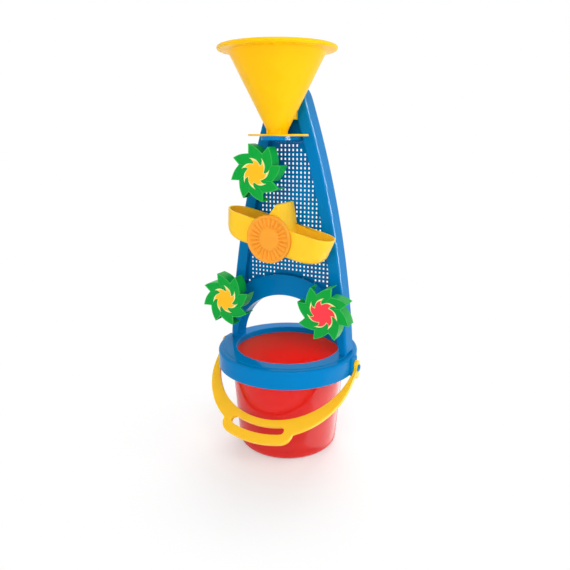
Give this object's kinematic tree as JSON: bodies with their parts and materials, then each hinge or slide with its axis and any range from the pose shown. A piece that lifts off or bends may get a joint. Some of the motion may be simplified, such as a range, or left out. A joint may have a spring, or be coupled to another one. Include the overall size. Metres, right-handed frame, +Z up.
{
  "type": "sand wheel toy",
  "caption": "Standing sand mill: bucket with a handle, a tower with a funnel, spinning pinwheels and a tipping double scoop that sand sets moving.",
  "frame": {"origin": "middle of the bucket's base, on the floor", "axes": "+Z up, +X to the right and +Y to the back, seen from the side that the wheels are on"},
  "size_m": [0.202, 0.1939, 0.4966],
  "materials": {
    "red_plastic": "glossy moulded plastic",
    "blue_plastic": "satin moulded plastic",
    "yellow_plastic": "satin moulded plastic",
    "green_plastic": "satin moulded plastic",
    "orange_plastic": "satin moulded plastic",
    "yellow_star": "printed film",
    "red_star": "printed film"
  },
  "bodies": {
    "bucket": {"bucket": "red_plastic"},
    "tower": {"collar": "blue_plastic", "tower": "blue_plastic", "screen": "blue_plastic", "axle_upper": "blue_plastic", "axle_left": "blue_plastic", "axle_right": "blue_plastic", "axle_rocker": "blue_plastic", "handle_peg_left": "blue_plastic", "handle_peg_right": "blue_plastic"},
    "funnel": {"funnel": "yellow_plastic"},
    "wheel_upper": {"rotor_upper": "green_plastic", "star_upper": "yellow_star"},
    "wheel_left": {"rotor_left": "green_plastic", "star_left": "yellow_star"},
    "wheel_right": {"rotor_right": "green_plastic", "star_right": "red_star"},
    "rocker": {"rocker": "yellow_plastic", "sun_disc": "orange_plastic"},
    "handle": {"handle": "yellow_plastic"}
  },
  "joints": [
    {"name": "tower_lift", "type": "slide", "parent": "bucket", "child": "tower", "axis": [0, 0, 1], "range_m": [0, 0.016]},
    {"name": "funnel_lift", "type": "slide", "parent": "tower", "child": "funnel", "axis": [0, 0, 1], "range_m": [0, 0.06]},
    {"name": "upper_spin", "type": "hinge", "parent": "tower", "child": "wheel_upper", "pos_m": [-0.02047, -0.0365, 0.3585], "axis": [0, 1, 0], "continuous": true},
    {"name": "left_spin", "type": "hinge", "parent": "tower", "child": "wheel_left", "pos_m": [-0.067, -0.0365, 0.1985], "axis": [0, 1, 0], "continuous": true},
    {"name": "right_spin", "type": "hinge", "parent": "tower", "child": "wheel_right", "pos_m": [0.067, -0.0365, 0.1985], "axis": [0, 1, 0], "continuous": true},
    {"name": "rocker_tip", "type": "hinge", "parent": "tower", "child": "rocker", "pos_m": [0.0015, -0.031, 0.2835], "axis": [0, 1, 0], "range_deg": [-37, 10]},
    {"name": "bail_swing", "type": "hinge", "parent": "tower", "child": "handle", "pos_m": [0, 0, 0.11905], "axis": [-1, 0, 0], "range_deg": [0, 72]}
  ]
}
